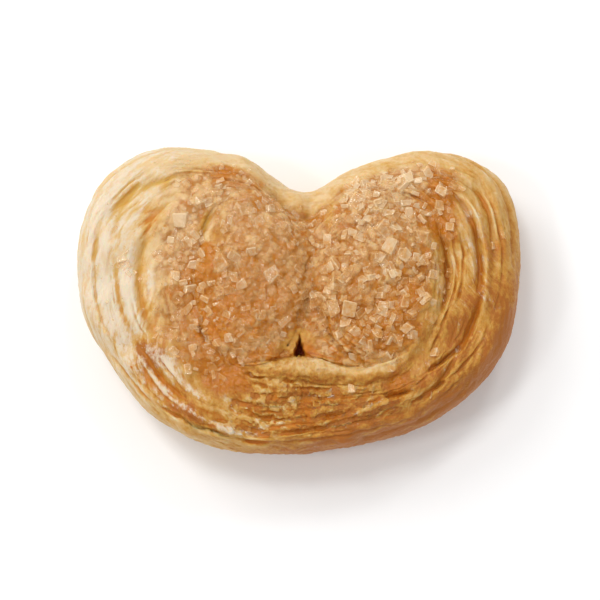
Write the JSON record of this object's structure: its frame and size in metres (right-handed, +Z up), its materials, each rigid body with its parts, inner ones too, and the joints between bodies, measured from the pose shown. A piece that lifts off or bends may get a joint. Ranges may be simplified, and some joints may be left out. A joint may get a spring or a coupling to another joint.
{
  "type": "palmier",
  "caption": "Small heart-shaped puff pastry biscuit rolled into two curls that meet in a seam, baked with coarse sugar on top and flat underneath.",
  "frame": {"origin": "on the flat underside, below the middle of the length and width", "axes": "+X along the length, towards the right lobe; +Y towards the notch between the lobes; +Z up through the sugared face"},
  "size_m": [0.055, 0.0382, 0.0167],
  "materials": {
    "pastry": "baked puff pastry, cream to golden brown with darker creases, dry and slightly waxy",
    "sugar": "coarse sugar crystals, translucent and lightly caramelised"
  },
  "bodies": {
    "root": {"palmier": "pastry"}
  },
  "joints": []
}
